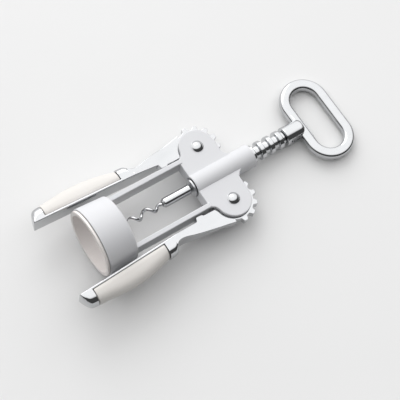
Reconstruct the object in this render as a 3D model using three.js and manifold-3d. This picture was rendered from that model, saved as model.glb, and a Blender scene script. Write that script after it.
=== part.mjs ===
// Lever corkscrew: a cast frame with a bell, two geared levers and a ridged rack on a turning spindle.
// Millimetres, +Z up. The corkscrew lies on its side: the screw axis runs along +X from the bell's mouth
// to the ring handle, the levers open in the XY plane and the left lever is on +Y.
// Inside the assembly group x = 0 is the bell's mouth and the screw axis is the X axis. The group then
// puts the origin under the middle of the closed corkscrew, on the surface that the bell lies on.

import * as THREE from "three";
import { mergeVertices } from "three/addons/utils/BufferGeometryUtils.js";
import Module from "manifold-3d";

const wasm = await Module();
wasm.setup();

// ---- Driving dimensions -------------------------------------------------------------------------

const GAP = 0.3;                    // clearance between pieces that touch
const TURNED_SIDES = 48;            // facets round the bell
const ROD_SIDES = 24;               // facets round rods, pins and the rack
const CURVE_STEPS = 10;             // facets on each arc of a plan outline

const LEFT = 1;
const RIGHT = -1;
const SIDES = { left: LEFT, right: RIGHT };

const BELL_MOUTH_RADIUS = 17.7;
const BELL_TOP_RADIUS = 16.7;
const BELL_TOP_X = 17.2;
const BELL_LEDGE_X = 14;            // the bottle's lip stops under this ledge
const BELL_BORE_RADIUS = 16.05;
const CORK_HOLE_RADIUS = 12.8;
const LINER_FLANGE_THICKNESS = 1.2;
const LINER_BORE_RADIUS = 15;           // clears the lip of a bottle, 29.5 mm across

const LEG_INNER_Y = 12;
const LEG_OUTER_Y = 14.5;
const LEG_HALF_DEPTH = 4.4;
const SHOULDER_X = 58.8;            // lower end of the barrel and cheeks
const BARREL_TOP_X = 93.2;
const BARREL_RADIUS = 6.1;
const BARREL_BORE_RADIUS = 5.15;

const PIVOT_X = 71.4;
const PIVOT_Y = 16.07;
const CHEEK_RADIUS = 9.2;
const CHEEK_END_X = 80.7;
const CHEEK_HALF_DEPTH = 4;
const SLOT_HALF_DEPTH = 2.3;        // half the space between the two cheeks

const GEAR_TEETH = 13;              // on a full circle
const GEAR_PITCH_RADIUS = 11.5;
const GEAR_TIP_RADIUS = 12.3;
const GEAR_ROOT_RADIUS = 10.4;
const GEAR_HALF_DEPTH = 1.9;
const TOOTH_STEP = (2 * Math.PI) / GEAR_TEETH;
const TEETH_PRESENT = 8;
const PRESSURE_ANGLE = Math.PI / 9;
const BACKLASH = 0.35;

const RACK_PITCH = GEAR_PITCH_RADIUS * TOOTH_STEP;
const RACK_PITCH_RADIUS = PIVOT_Y - GEAR_PITCH_RADIUS;
const RACK_RIDGE_RADIUS = 4.9;
const RACK_GROOVE_RADIUS = 3.45;
const RACK_BORE_RADIUS = 2.5;
const RIDGES_BELOW_PIVOT = 2;
const RIDGE_COUNT = 10;
const RACK_LOW_X = 58.9;
const RACK_HIGH_X = 113.5;

const CORE_RADIUS = 2.2;
const SPIGOT_RADIUS = 1.2;
const SPIGOT_LOW_X = 50.8;
const SOCKET_LOW_X = 41;
const SOCKET_HIGH_X = 57.3;
const SOCKET_RADIUS = 2.5;
const SOCKET_BORE_DEPTH = 8;

const WORM_WIRE_RADIUS = 0.85;
const WORM_HELIX_RADIUS = 1.6;
const WORM_PITCH = 8.8;
const WORM_TIP_X = 21.5;
const WORM_TOP_X = 48.5;
const WORM_PHASE_X = 22.7;           // the helix crosses the XY plane on the +Y side here
const WORM_STRAIGHT_X = 40.8;        // above this the wire runs on the axis
const WORM_FULL_X = 37.4;           // below this it has its full helix radius

const FORK_LOW_X = 113.8;
const FORK_RADIUS = 5;
const FORK_ROUND_X = 120.4;         // centre of the fork's round end
const FORK_SLOT_X = 115.6;
const FORK_NOSE = [[1.2, 5], [2.9, 4.4], [4.1, 3.6], [4.8, 2.7], [5, 2]];  // past the centre, radius

const RING_X = 135.1;
const RING_HALF_STRAIGHT = 10.6;
const RING_OUTER_RADIUS = 13.3;
const RING_INNER_RADIUS = 7.6;
const RING_HALF_DEPTH = 2.5;
const RING_BEVEL = 1;
const RING_LUG_HALF_WIDTH = 4;
const RING_PIN_X = 119;
const RING_PIN_RADIUS = 1.2;
const RING_PIN_LOW_Z = -4.8;
const RING_PIN_HIGH_Z = 4;           // the pin's hole is blind, so the fork's top is unbroken
const OPENER_LIP = { y0: -7, y1: 3, width: 1.6, z0: -2.2, z1: -1 };

const LEVER_TIP_X = -17.6;
const LEVER_HALF_DEPTH = 5.2;
const HEAD_BEVEL = 3;                // rounding of the head's outer side and tip
const STOP_BEVEL = 2.2;
const RAIL_THICKNESS = 1;
const GRIP_LOW_X = -11.2;
const GRIP_HIGH_X = 29.3;
const GRIP_BEVEL = 2.6;
const WEB_HALF_DEPTH = 1;
const WEB_OUTER_Y = 25.2;
const GRIP_SCREW_XS = { front: -3, rear: 21 };
const GRIP_SCREW_Y = 23;
const SCREW_RADIUS = 0.8;
const SCREW_HEAD_RADIUS = 1.6;
const SCREW_HEAD_DEPTH = 1.2;
const SCREW_TOP_Z = 3.2;

const RIVET_RADIUS = 2;
const RIVET_HEAD_RADIUS = 3.1;
const RIVET_HEAD_HEIGHT = 2;
const RIVET_WASHER_THICKNESS = 0.8;
const RIVET_WASHER_RADIUS = 3.8;

// ---- Materials ----------------------------------------------------------------------------------

const paint = new THREE.MeshStandardMaterial({ color: "#dfe0e4", roughness: 0.45, metalness: 0 });
const ivory = new THREE.MeshStandardMaterial({ color: "#efe8df", roughness: 0.3, metalness: 0 });
const chrome = new THREE.MeshStandardMaterial({ color: "#d8dadd", roughness: 0.08, metalness: 1 });
const steel = new THREE.MeshStandardMaterial({ color: "#b9bcc0", roughness: 0.3, metalness: 1 });

// ---- Helpers ------------------------------------------------------------------------------------

// A closed three.js geometry as a manifold solid.
function solid(geometry) {
  const bare = geometry.index ? geometry.toNonIndexed() : geometry.clone();
  bare.deleteAttribute("normal");
  bare.deleteAttribute("uv");
  const merged = mergeVertices(bare, 1e-4);
  const corners = merged.index.array;
  const kept = [];
  for (let i = 0; i < corners.length; i += 3) {
    const [a, b, c] = corners.slice(i, i + 3);
    if (a !== b && b !== c && c !== a) kept.push(a, b, c);
  }
  const vertProperties = new Float32Array(merged.attributes.position.array);
  return new wasm.Manifold(new wasm.Mesh({ numProp: 3, vertProperties, triVerts: new Uint32Array(kept) }));
}

// A named mesh made from a manifold solid.
function piece(name, body, material) {
  const { vertProperties, triVerts } = body.getMesh();
  const geometry = new THREE.BufferGeometry();
  geometry.setAttribute("position", new THREE.BufferAttribute(new Float32Array(vertProperties), 3));
  geometry.setIndex(new THREE.BufferAttribute(new Uint32Array(triVerts), 1));
  geometry.computeVertexNormals();
  const mesh = new THREE.Mesh(geometry, material.clone());
  mesh.name = name;
  return mesh;
}

// A plan outline through [x, y] points; side = -1 mirrors it to the right-hand side.
function outline(points, side = LEFT) {
  return new THREE.Shape(points.map(([x, y]) => new THREE.Vector2(x, side * y)));
}

// A plan outline carried from z0 to z1.
function slab(shape, z0, z1) {
  const options = { depth: z1 - z0, bevelEnabled: false, curveSegments: CURVE_STEPS };
  return solid(new THREE.ExtrudeGeometry(shape, options).translate(0, 0, z0));
}

// A plan outline of full half depth whose upper and lower edges are rounded over.
function roundedSlab(shape, halfDepth, bevel, steps) {
  const options = {
    depth: 2 * (halfDepth - bevel),
    bevelThickness: bevel,
    bevelSize: bevel,
    bevelOffset: -bevel,
    bevelSegments: steps,
    curveSegments: CURVE_STEPS,
  };
  return solid(new THREE.ExtrudeGeometry(shape, options).translate(0, 0, bevel - halfDepth));
}

// A closed or axis-to-axis profile of [x, radius] points turned round the X axis.
function turned(profile, sides) {
  const points = profile.map(([x, radius]) => new THREE.Vector2(radius, x));
  return solid(new THREE.LatheGeometry(points, sides).rotateZ(-Math.PI / 2).rotateX(Math.PI / 2));
}

// A plain rod along X.
function rodX(x0, x1, radius, sides = ROD_SIDES) {
  const length = x1 - x0;
  const geometry = new THREE.CylinderGeometry(radius, radius, length, sides).rotateZ(-Math.PI / 2);
  return solid(geometry.translate(x0 + length / 2, 0, 0));
}

// A plain rod along Z at (x, y).
function rodZ(x, y, z0, z1, radius, sides = ROD_SIDES) {
  const length = z1 - z0;
  const geometry = new THREE.CylinderGeometry(radius, radius, length, sides).rotateX(Math.PI / 2);
  return solid(geometry.translate(x, y, z0 + length / 2));
}

// A box between two corners.
function block([x0, y0, z0], [x1, y1, z1]) {
  const geometry = new THREE.BoxGeometry(x1 - x0, y1 - y0, z1 - z0);
  return solid(geometry.translate((x0 + x1) / 2, (y0 + y1) / 2, (z0 + z1) / 2));
}

// A point at an angle and radius from the left pivot.
function fromPivot(angle, radius) {
  return [PIVOT_X + radius * Math.cos(angle), PIVOT_Y + radius * Math.sin(angle)];
}

// ---- Frame casting ------------------------------------------------------------------------------

// The bell: a tapered cup with an open mouth and a ledge round the hole that the cork comes through.
function bell() {
  const lowX = LINER_FLANGE_THICKNESS + GAP;
  const chamfer = 0.6;
  return turned([
    [lowX, BELL_BORE_RADIUS],
    [lowX, BELL_MOUTH_RADIUS - chamfer],
    [lowX + chamfer, BELL_MOUTH_RADIUS],
    [BELL_TOP_X - chamfer, BELL_TOP_RADIUS],
    [BELL_TOP_X, BELL_TOP_RADIUS - chamfer],
    [BELL_TOP_X, CORK_HOLE_RADIUS],
    [BELL_LEDGE_X, CORK_HOLE_RADIUS],
    [BELL_LEDGE_X, BELL_BORE_RADIUS],
    [lowX, BELL_BORE_RADIUS],
  ], TURNED_SIDES);
}

// Plan outline of one cheek, from the screw axis out round the pivot and back.
function cheekOutline(side) {
  const filletX = 1.9;
  const points = [[SHOULDER_X, 0], [SHOULDER_X, LEG_OUTER_Y], [SHOULDER_X + 1.4, LEG_OUTER_Y + 0.3]];
  points.push([SHOULDER_X + 2.7, LEG_OUTER_Y + 1.2]);
  const from = Math.PI * 0.96;
  const steps = 2 * CURVE_STEPS;
  for (let i = 0; i <= steps; i += 1) points.push(fromPivot(from * (1 - i / steps), CHEEK_RADIUS));
  points.push([CHEEK_END_X, BARREL_RADIUS + filletX]);
  points.push([CHEEK_END_X + 0.4 * filletX, BARREL_RADIUS + 0.3 * filletX]);
  points.push([CHEEK_END_X + 1.6 * filletX, 0.8 * BARREL_RADIUS], [CHEEK_END_X + 1.6 * filletX, 0]);
  return outline(points, side);
}

function frameCasting() {
  let body = bell().add(rodX(SHOULDER_X, BARREL_TOP_X, BARREL_RADIUS, TURNED_SIDES));
  for (const side of Object.values(SIDES)) {
    const near = Math.min(side * LEG_INNER_Y, side * LEG_OUTER_Y);
    const far = Math.max(side * LEG_INNER_Y, side * LEG_OUTER_Y);
    const legLowX = BELL_TOP_X - 1;
    body = body.add(block([legLowX, near, -LEG_HALF_DEPTH], [SHOULDER_X + 1, far, LEG_HALF_DEPTH]));
    body = body.add(slab(cheekOutline(side), -CHEEK_HALF_DEPTH, CHEEK_HALF_DEPTH));
  }
  body = body.subtract(rodX(SHOULDER_X - 1, BARREL_TOP_X + 1, BARREL_BORE_RADIUS));
  for (const side of Object.values(SIDES)) {
    const pivotY = side * PIVOT_Y;
    const sweep = GEAR_TIP_RADIUS + 0.45;
    body = body.subtract(rodZ(PIVOT_X, pivotY, -SLOT_HALF_DEPTH, SLOT_HALF_DEPTH, sweep, TURNED_SIDES));
    const hole = RIVET_RADIUS + GAP;
    body = body.subtract(rodZ(PIVOT_X, pivotY, -CHEEK_HALF_DEPTH - 1, CHEEK_HALF_DEPTH + 1, hole));
  }
  return body;
}

// The moulded liner: a sleeve in the bell with a flange that covers the casting's mouth.
function bellLiner() {
  const chamfer = 0.5;
  return turned([
    [0, LINER_BORE_RADIUS + chamfer],
    [0, BELL_MOUTH_RADIUS - chamfer],
    [LINER_FLANGE_THICKNESS, BELL_MOUTH_RADIUS - chamfer],
    [LINER_FLANGE_THICKNESS, BELL_BORE_RADIUS - GAP],
    [BELL_LEDGE_X - GAP, BELL_BORE_RADIUS - GAP],
    [BELL_LEDGE_X - GAP, LINER_BORE_RADIUS],
    [chamfer, LINER_BORE_RADIUS],
    [0, LINER_BORE_RADIUS + chamfer],
  ], TURNED_SIDES);
}

// ---- Pivots -------------------------------------------------------------------------------------

// A domed head on a straight shank that ends in a flattened head behind the back washer.
function pivotRivet(side) {
  const steps = 6;
  const headZ = CHEEK_HALF_DEPTH + GAP;
  const backZ = -CHEEK_HALF_DEPTH - RIVET_WASHER_THICKNESS - 2 * GAP;
  const profile = [[0, backZ - 1], [RIVET_HEAD_RADIUS - 0.6, backZ - 1], [RIVET_HEAD_RADIUS, backZ - 0.5]];
  profile.push([RIVET_HEAD_RADIUS, backZ], [RIVET_RADIUS, backZ], [RIVET_RADIUS, headZ]);
  for (let i = 0; i < steps; i += 1) {
    const angle = (Math.PI / 2) * (i / steps);
    profile.push([RIVET_HEAD_RADIUS * Math.cos(angle), headZ + RIVET_HEAD_HEIGHT * Math.sin(angle)]);
  }
  profile.push([0, headZ + RIVET_HEAD_HEIGHT]);
  const points = profile.map(([radius, z]) => new THREE.Vector2(radius, z));
  const geometry = new THREE.LatheGeometry(points, ROD_SIDES).rotateX(Math.PI / 2);
  return solid(geometry.translate(PIVOT_X, side * PIVOT_Y, 0));
}

function rivetWasher(side) {
  const topZ = -CHEEK_HALF_DEPTH - GAP;
  const lowZ = topZ - RIVET_WASHER_THICKNESS;
  const disc = rodZ(PIVOT_X, side * PIVOT_Y, lowZ, topZ, RIVET_WASHER_RADIUS);
  return disc.subtract(rodZ(PIVOT_X, side * PIVOT_Y, lowZ - 1, topZ + 1, RIVET_RADIUS + GAP));
}

// ---- Levers -------------------------------------------------------------------------------------

// Half the angle that a tooth covers at a radius: an involute flank thinned by the backlash.
function toothHalfAngle(radius) {
  const involute = (angle) => Math.tan(angle) - angle;
  const baseRadius = GEAR_PITCH_RADIUS * Math.cos(PRESSURE_ANGLE);
  const atPitch = (RACK_PITCH / 2 - BACKLASH) / (2 * GEAR_PITCH_RADIUS);
  const pressure = Math.acos(Math.min(1, baseRadius / radius));
  return atPitch + involute(PRESSURE_ANGLE) - involute(pressure);
}

// Points of the toothed sector, anticlockwise from the side that faces the rack. A gap faces the rack
// at rest, so the first tooth stands half a step before it.
function toothedSector() {
  const flank = [GEAR_ROOT_RADIUS, 10.9, GEAR_PITCH_RADIUS, 11.95, GEAR_TIP_RADIUS];
  const points = [];
  for (let tooth = 0; tooth < TEETH_PRESENT; tooth += 1) {
    const middle = -Math.PI / 2 + (tooth - 0.5) * TOOTH_STEP;
    for (const radius of flank) points.push(fromPivot(middle - toothHalfAngle(radius), radius));
    for (const radius of [...flank].reverse()) {
      points.push(fromPivot(middle + toothHalfAngle(radius), radius));
    }
    points.push(fromPivot(middle + TOOTH_STEP / 2, GEAR_ROOT_RADIUS));
  }
  return points;
}

// y of the lever's straight inner edge, which leans outwards towards the tip.
function innerEdgeY(x) {
  return 20.35 - 0.0476 * (x - LEVER_TIP_X);
}

// Plan outline of a lever's rail, neck and toothed gear.
function leverOutline(side) {
  const railLowX = GRIP_LOW_X - 1.8;
  const rail = (x) => [x, innerEdgeY(x) + RAIL_THICKNESS];
  const railEnds = [rail(GRIP_HIGH_X), rail(railLowX), [railLowX, innerEdgeY(railLowX)]];
  const stopY = LEG_OUTER_Y + 0.35;
  const stopNub = [[49.4, innerEdgeY(49.4)], [50.2, stopY], [53.4, stopY], [54.2, 15.6]];
  const neckInside = [[59.8, 15.6], fromPivot(-Math.PI * 0.87, GEAR_ROOT_RADIUS)];
  const neckOutside = [
    [66.6, 26.7], [62, 25.7], [56, 24.6], [49, 23.5], [44.5, 22.6], [41, 21.6], [38.5, 21.3],
    [36.3, 21.6], [35, 22.6], [34.4, 23.5], [GRIP_HIGH_X + 0.2, 23.5],
  ];
  return outline([...railEnds, ...stopNub, ...neckInside, ...toothedSector(), ...neckOutside], side);
}

// A block that closes one end of the grip's recess, rounded on its outer and free sides.
function endBlock(crown, bevel, lowX, highX, side) {
  const first = crown[0];
  const last = crown[crown.length - 1];
  const plan = outline([[first[0], 10], ...crown, [last[0], 10]], side);
  const inside = (x) => [x, innerEdgeY(x)];
  const kept = outline([inside(lowX), [lowX, 40], [highX, 40], inside(highX)], side);
  const limit = LEVER_HALF_DEPTH + 1;
  return roundedSlab(plan, LEVER_HALF_DEPTH, bevel, 4).intersect(slab(kept, -limit, limit));
}

// The lever's head, past the grip's free end.
function leverHead(side) {
  const crown = [
    [LEVER_TIP_X, 21.2], [-17.2, 23.4], [-16, 26.3], [-14.6, 27.6], [-11.4, 27.9], [GRIP_LOW_X + 6, 27.9],
  ];
  return endBlock(crown, HEAD_BEVEL, LEVER_TIP_X - 1, GRIP_LOW_X - 0.2, side);
}

// The block between the grip and the lever's neck.
function gripStop(side) {
  const crown = [[GRIP_HIGH_X - 6, 25.8], [33.2, 25.5], [34.8, 24.5], [36.4, 22.4], [37.2, 21.4]];
  return endBlock(crown, STOP_BEVEL, GRIP_HIGH_X + 0.2, 38, side);
}

// The lever's side view: full depth at the grip, thinning along the neck to the gear.
function leverSideView(side) {
  const upper = [
    [LEVER_TIP_X - 1, LEVER_HALF_DEPTH], [35, LEVER_HALF_DEPTH], [46, 3.9], [57.5, GEAR_HALF_DEPTH],
    [PIVOT_X + 15, GEAR_HALF_DEPTH],
  ];
  const lower = [...upper].reverse().map(([x, z]) => [x, -z]);
  const view = outline([...upper, ...lower]);
  const geometry = new THREE.ExtrudeGeometry(view, { depth: 40, bevelEnabled: false });
  return solid(geometry.rotateX(Math.PI / 2).translate(0, side > 0 ? 40 : 0, 0));
}

function lever(side) {
  const web = outline([
    [GRIP_LOW_X + 1.5, innerEdgeY(GRIP_LOW_X)], [GRIP_LOW_X + 1.5, 23.5], [GRIP_LOW_X + 4, WEB_OUTER_Y],
    [GRIP_HIGH_X - 5, WEB_OUTER_Y], [GRIP_HIGH_X - 1.5, 22.6], [GRIP_HIGH_X - 1.5, innerEdgeY(GRIP_HIGH_X)],
  ], side);
  let body = slab(leverOutline(side), -LEVER_HALF_DEPTH, LEVER_HALF_DEPTH).intersect(leverSideView(side));
  body = body.add(slab(web, -WEB_HALF_DEPTH, WEB_HALF_DEPTH)).add(leverHead(side)).add(gripStop(side));
  body = body.subtract(rodZ(PIVOT_X, side * PIVOT_Y, -3, 3, RIVET_RADIUS + GAP));
  for (const x of Object.values(GRIP_SCREW_XS)) {
    body = body.subtract(rodZ(x, side * GRIP_SCREW_Y, -2, 2, SCREW_RADIUS + GAP, 12));
  }
  return body;
}

// The grip: a crowned bar that fills the lever's recess, slotted to slide over the lever's web.
function grip(side) {
  const lowX = GRIP_LOW_X + GAP;
  const highX = GRIP_HIGH_X - GAP;
  const crown = [
    [lowX, 27.8], [-5, 28.6], [0, 29.2], [5, 29.5], [12, 29.1], [18, 28.2], [23.5, 27], [highX, 25.5],
  ];
  const bar = outline([[lowX - 6, 10], [lowX - 6, 26.8], ...crown, [highX + 6, 24], [highX + 6, 10]], side);
  const inside = (x) => [x, innerEdgeY(x) + RAIL_THICKNESS + GAP];
  const recess = outline([inside(lowX), [lowX, 40], [highX, 40], inside(highX)], side);
  const webSlot = outline([
    [lowX + 0.9, 10], [lowX + 0.9, 23.8], [lowX + 3.6, WEB_OUTER_Y + GAP], [highX - 4.5, WEB_OUTER_Y + GAP],
    [highX - 0.8, 22.9], [highX - 0.8, 10],
  ], side);
  let body = roundedSlab(bar, LEVER_HALF_DEPTH, GRIP_BEVEL, 3);
  body = body.intersect(slab(recess, -LEVER_HALF_DEPTH - 1, LEVER_HALF_DEPTH + 1));
  body = body.subtract(slab(webSlot, -WEB_HALF_DEPTH - GAP, WEB_HALF_DEPTH + GAP));
  for (const x of Object.values(GRIP_SCREW_XS)) {
    const y = side * GRIP_SCREW_Y;
    const headZ = -LEVER_HALF_DEPTH + SCREW_HEAD_DEPTH + GAP;
    body = body.subtract(rodZ(x, y, -LEVER_HALF_DEPTH - 1, SCREW_TOP_Z + GAP, SCREW_RADIUS + GAP, 12));
    body = body.subtract(rodZ(x, y, -LEVER_HALF_DEPTH - 1, headZ, SCREW_HEAD_RADIUS + GAP, 12));
  }
  return body;
}

// A countersunk-in screw from the back of the lever into the grip.
function gripScrew(x, side) {
  const lowZ = -LEVER_HALF_DEPTH + 0.1;
  const shank = rodZ(x, side * GRIP_SCREW_Y, lowZ, SCREW_TOP_Z, SCREW_RADIUS, 12);
  return shank.add(rodZ(x, side * GRIP_SCREW_Y, lowZ, lowZ + SCREW_HEAD_DEPTH, SCREW_HEAD_RADIUS, 12));
}

// ---- Rack, spindle and worm ---------------------------------------------------------------------

// The rack sleeve: ring-shaped ridges that mesh with both gears at any angle about the screw axis.
function rackSleeve() {
  const width = RACK_PITCH / 2 - BACKLASH / 2;
  const lean = Math.tan(PRESSURE_ANGLE);
  const topHalf = width / 2 - (RACK_RIDGE_RADIUS - RACK_PITCH_RADIUS) * lean;
  const rootHalf = width / 2 + (RACK_PITCH_RADIUS - RACK_GROOVE_RADIUS) * lean;
  const profile = [[RACK_LOW_X, RACK_BORE_RADIUS], [RACK_LOW_X, RACK_RIDGE_RADIUS - 0.3]];
  for (let ridge = 0; ridge < RIDGE_COUNT; ridge += 1) {
    const x = PIVOT_X + (ridge - RIDGES_BELOW_PIVOT) * RACK_PITCH;
    if (ridge > 0) profile.push([x - rootHalf, RACK_GROOVE_RADIUS]);
    if (x - topHalf > RACK_LOW_X) profile.push([x - topHalf, RACK_RIDGE_RADIUS]);
    profile.push([x + topHalf, RACK_RIDGE_RADIUS], [x + rootHalf, RACK_GROOVE_RADIUS]);
  }
  profile.push([RACK_HIGH_X, RACK_GROOVE_RADIUS], [RACK_HIGH_X, RACK_BORE_RADIUS]);
  profile.push([RACK_LOW_X, RACK_BORE_RADIUS]);
  return turned(profile, ROD_SIDES);
}

function thrustWasher() {
  const ring = rodX(SOCKET_HIGH_X + GAP, RACK_LOW_X - GAP, RACK_RIDGE_RADIUS - 0.2);
  return ring.subtract(rodX(SOCKET_HIGH_X, RACK_LOW_X, SPIGOT_RADIUS + GAP));
}

// The spindle: a spigot for the worm socket, the core inside the rack and the fork for the ring.
function spindle() {
  const endX = FORK_ROUND_X + FORK_RADIUS;
  const coreLowX = RACK_LOW_X;
  const rod = turned([
    [SPIGOT_LOW_X, 0], [SPIGOT_LOW_X, SPIGOT_RADIUS], [coreLowX, SPIGOT_RADIUS], [coreLowX, CORE_RADIUS],
    [FORK_LOW_X, CORE_RADIUS], [FORK_LOW_X, FORK_RADIUS - 0.4], [FORK_LOW_X + 0.4, FORK_RADIUS],
    ...FORK_NOSE.map(([past, radius]) => [FORK_ROUND_X + past, radius]), [endX, 0],
  ], ROD_SIDES);
  const plan = new THREE.Shape();
  plan.moveTo(SPIGOT_LOW_X - 1, -FORK_RADIUS - 1);
  plan.lineTo(FORK_ROUND_X - 2, -FORK_RADIUS - 1);
  plan.lineTo(FORK_ROUND_X, -FORK_RADIUS);
  plan.absarc(FORK_ROUND_X, 0, FORK_RADIUS, -Math.PI / 2, Math.PI / 2, false);
  plan.lineTo(FORK_ROUND_X - 2, FORK_RADIUS + 1);
  plan.lineTo(SPIGOT_LOW_X - 1, FORK_RADIUS + 1);
  let body = rod.intersect(slab(plan, -FORK_RADIUS - 1, FORK_RADIUS + 1));
  const slotHalf = RING_HALF_DEPTH + GAP;
  body = body.subtract(block([FORK_SLOT_X, -8, -slotHalf], [endX + 2, 8, slotHalf]));
  const holeHighZ = RING_PIN_HIGH_Z + GAP;
  return body.subtract(rodZ(RING_PIN_X, 0, -FORK_RADIUS - 1, holeHighZ, RING_PIN_RADIUS + GAP));
}

// The socket that joins the worm to the spindle.
function wormSocket() {
  const chamfer = 0.7;
  const wormBore = WORM_WIRE_RADIUS + GAP;
  const spigotBore = SPIGOT_RADIUS + GAP;
  const middleX = SOCKET_LOW_X + SOCKET_BORE_DEPTH;
  return turned([
    [SOCKET_LOW_X, wormBore], [SOCKET_LOW_X, SOCKET_RADIUS - chamfer],
    [SOCKET_LOW_X + chamfer, SOCKET_RADIUS], [SOCKET_HIGH_X, SOCKET_RADIUS],
    [SOCKET_HIGH_X, spigotBore], [middleX + 1, spigotBore],
    [middleX, wormBore], [SOCKET_LOW_X, wormBore],
  ], ROD_SIDES);
}

// The worm's centre line: on the axis inside the socket, then out to a right-handed helix.
class WormLine extends THREE.Curve {
  getPoint(t, target = new THREE.Vector3()) {
    const x = WORM_TOP_X + (WORM_TIP_X - WORM_TOP_X) * t;
    const spread = THREE.MathUtils.smoothstep(WORM_STRAIGHT_X - x, 0, WORM_STRAIGHT_X - WORM_FULL_X);
    const angle = (2 * Math.PI * (x - WORM_PHASE_X)) / WORM_PITCH;
    const radius = WORM_HELIX_RADIUS * spread;
    return target.set(x, radius * Math.cos(angle), radius * Math.sin(angle));
  }
}

function worm() {
  const section = new THREE.Shape();
  section.absarc(0, 0, WORM_WIRE_RADIUS, 0, 2 * Math.PI, false);
  const options = { steps: 64, curveSegments: 4, bevelEnabled: false, extrudePath: new WormLine() };
  return solid(new THREE.ExtrudeGeometry(section, options));
}

// ---- Ring handle --------------------------------------------------------------------------------

// A stadium outline whose long direction is Y.
function stadium(path, radius) {
  path.moveTo(RING_X + radius, -RING_HALF_STRAIGHT);
  path.absarc(RING_X, RING_HALF_STRAIGHT, radius, 0, Math.PI, false);
  path.absarc(RING_X, -RING_HALF_STRAIGHT, radius, Math.PI, 2 * Math.PI, false);
  return path;
}

// The ring handle, with a lug for the spindle's fork and a bottle-opener lip on its inner edge.
function ringHandle() {
  const shape = stadium(new THREE.Shape(), RING_OUTER_RADIUS);
  shape.holes.push(stadium(new THREE.Path(), RING_INNER_RADIUS));
  const nearX = RING_X - RING_OUTER_RADIUS;
  const innerX = RING_X - RING_INNER_RADIUS;
  const lugLow = [FORK_SLOT_X + GAP, -RING_LUG_HALF_WIDTH, -RING_HALF_DEPTH];
  const lugHigh = [nearX + 2, RING_LUG_HALF_WIDTH, RING_HALF_DEPTH];
  const lipLow = [innerX - 2, OPENER_LIP.y0, OPENER_LIP.z0];
  const lipHigh = [innerX + OPENER_LIP.width, OPENER_LIP.y1, OPENER_LIP.z1];
  const ring = roundedSlab(shape, RING_HALF_DEPTH, RING_BEVEL, 2);
  const body = ring.add(block(lugLow, lugHigh)).add(block(lipLow, lipHigh));
  return body.subtract(rodZ(RING_PIN_X, 0, -4, 4, RING_PIN_RADIUS + GAP));
}

function ringPin() {
  return rodZ(RING_PIN_X, 0, RING_PIN_LOW_Z, RING_PIN_HIGH_Z, RING_PIN_RADIUS);
}

// ---- Assembly -----------------------------------------------------------------------------------

const assembly = new THREE.Group();
assembly.add(
  piece("body_casting", frameCasting(), paint),
  piece("bell_liner", bellLiner(), ivory),
  piece("rack_sleeve", rackSleeve(), chrome),
  piece("thrust_washer", thrustWasher(), steel),
  piece("spindle", spindle(), chrome),
  piece("worm_socket", wormSocket(), chrome),
  piece("worm", worm(), chrome),
  piece("ring_handle", ringHandle(), chrome),
  piece("ring_pin", ringPin(), chrome),
);
for (const [word, side] of Object.entries(SIDES)) {
  assembly.add(
    piece(`lever_${word}`, lever(side), chrome),
    piece(`grip_${word}`, grip(side), ivory),
    piece(`pivot_rivet_${word}`, pivotRivet(side), chrome),
    piece(`rivet_washer_${word}`, rivetWasher(side), steel),
  );
  for (const [end, x] of Object.entries(GRIP_SCREW_XS)) {
    assembly.add(piece(`grip_screw_${word}_${end}`, gripScrew(x, side), steel));
  }
}
const ringEndX = RING_X + RING_OUTER_RADIUS;
assembly.position.set(-(LEVER_TIP_X + ringEndX) / 2, 0, BELL_MOUTH_RADIUS);

const corkscrew = new THREE.Group();
corkscrew.add(assembly);

export default corkscrew;
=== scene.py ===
"""Looks of a lever corkscrew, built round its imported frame.

Lengths in the classes are millimetres, measured from the bell's mouth: X runs along the screw's axis
towards the ring handle, Y across the two levers and Z up. place() turns them into metres in the row frame.
"""

import logging
import math
from dataclasses import dataclass, field
from enum import Enum

import bmesh
import bpy
import numpy as np
from mathutils import Matrix, Vector


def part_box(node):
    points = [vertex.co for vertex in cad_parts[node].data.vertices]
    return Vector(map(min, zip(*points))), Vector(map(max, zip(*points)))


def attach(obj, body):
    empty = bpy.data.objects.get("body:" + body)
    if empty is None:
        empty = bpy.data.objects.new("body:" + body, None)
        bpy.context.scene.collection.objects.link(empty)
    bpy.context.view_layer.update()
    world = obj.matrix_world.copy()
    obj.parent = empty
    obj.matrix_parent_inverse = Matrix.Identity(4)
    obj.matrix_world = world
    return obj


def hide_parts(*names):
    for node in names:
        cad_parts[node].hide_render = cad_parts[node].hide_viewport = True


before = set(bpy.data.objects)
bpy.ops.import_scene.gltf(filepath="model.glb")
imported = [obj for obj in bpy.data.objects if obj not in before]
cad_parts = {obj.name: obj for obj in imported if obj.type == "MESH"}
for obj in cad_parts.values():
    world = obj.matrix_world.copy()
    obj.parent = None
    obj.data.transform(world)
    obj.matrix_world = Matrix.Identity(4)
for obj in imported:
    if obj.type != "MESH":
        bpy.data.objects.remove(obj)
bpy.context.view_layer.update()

LOG = logging.getLogger("corkscrew")
MM = 0.001
CASTING_LOW, CASTING_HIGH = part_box("body_casting")
ORIGIN = np.array([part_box("bell_liner")[0].x, 0.0, (CASTING_LOW.z + CASTING_HIGH.z) / 2])
PIVOT_X = ((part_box("pivot_rivet_left")[0].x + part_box("pivot_rivet_left")[1].x) / 2 - ORIGIN[0]) / MM
PIVOT_Y = (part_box("pivot_rivet_left")[0].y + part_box("pivot_rivet_left")[1].y) / 2 / MM

SHARP_ANGLE = math.radians(32)
ROUND_STEPS = 6
FINE_SIDES = 144
ROD_SIDES = 96
PIN_SIDES = 72
SMALL_SIDES = 64
WIRE_SIDES = 24
CUT_MARGIN = 3.0
THROUGH = 9.0
RIVET_HOLE = 2.15
SAME_POINT = 1e-5
POLE_SIZE = 1e-6
WELD_METRES = 1e-7

Points = np.ndarray


class Axis(Enum):
    """Direction that a turned shape is turned about."""

    SCREW = "X"
    PIVOT = "Z"


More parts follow.
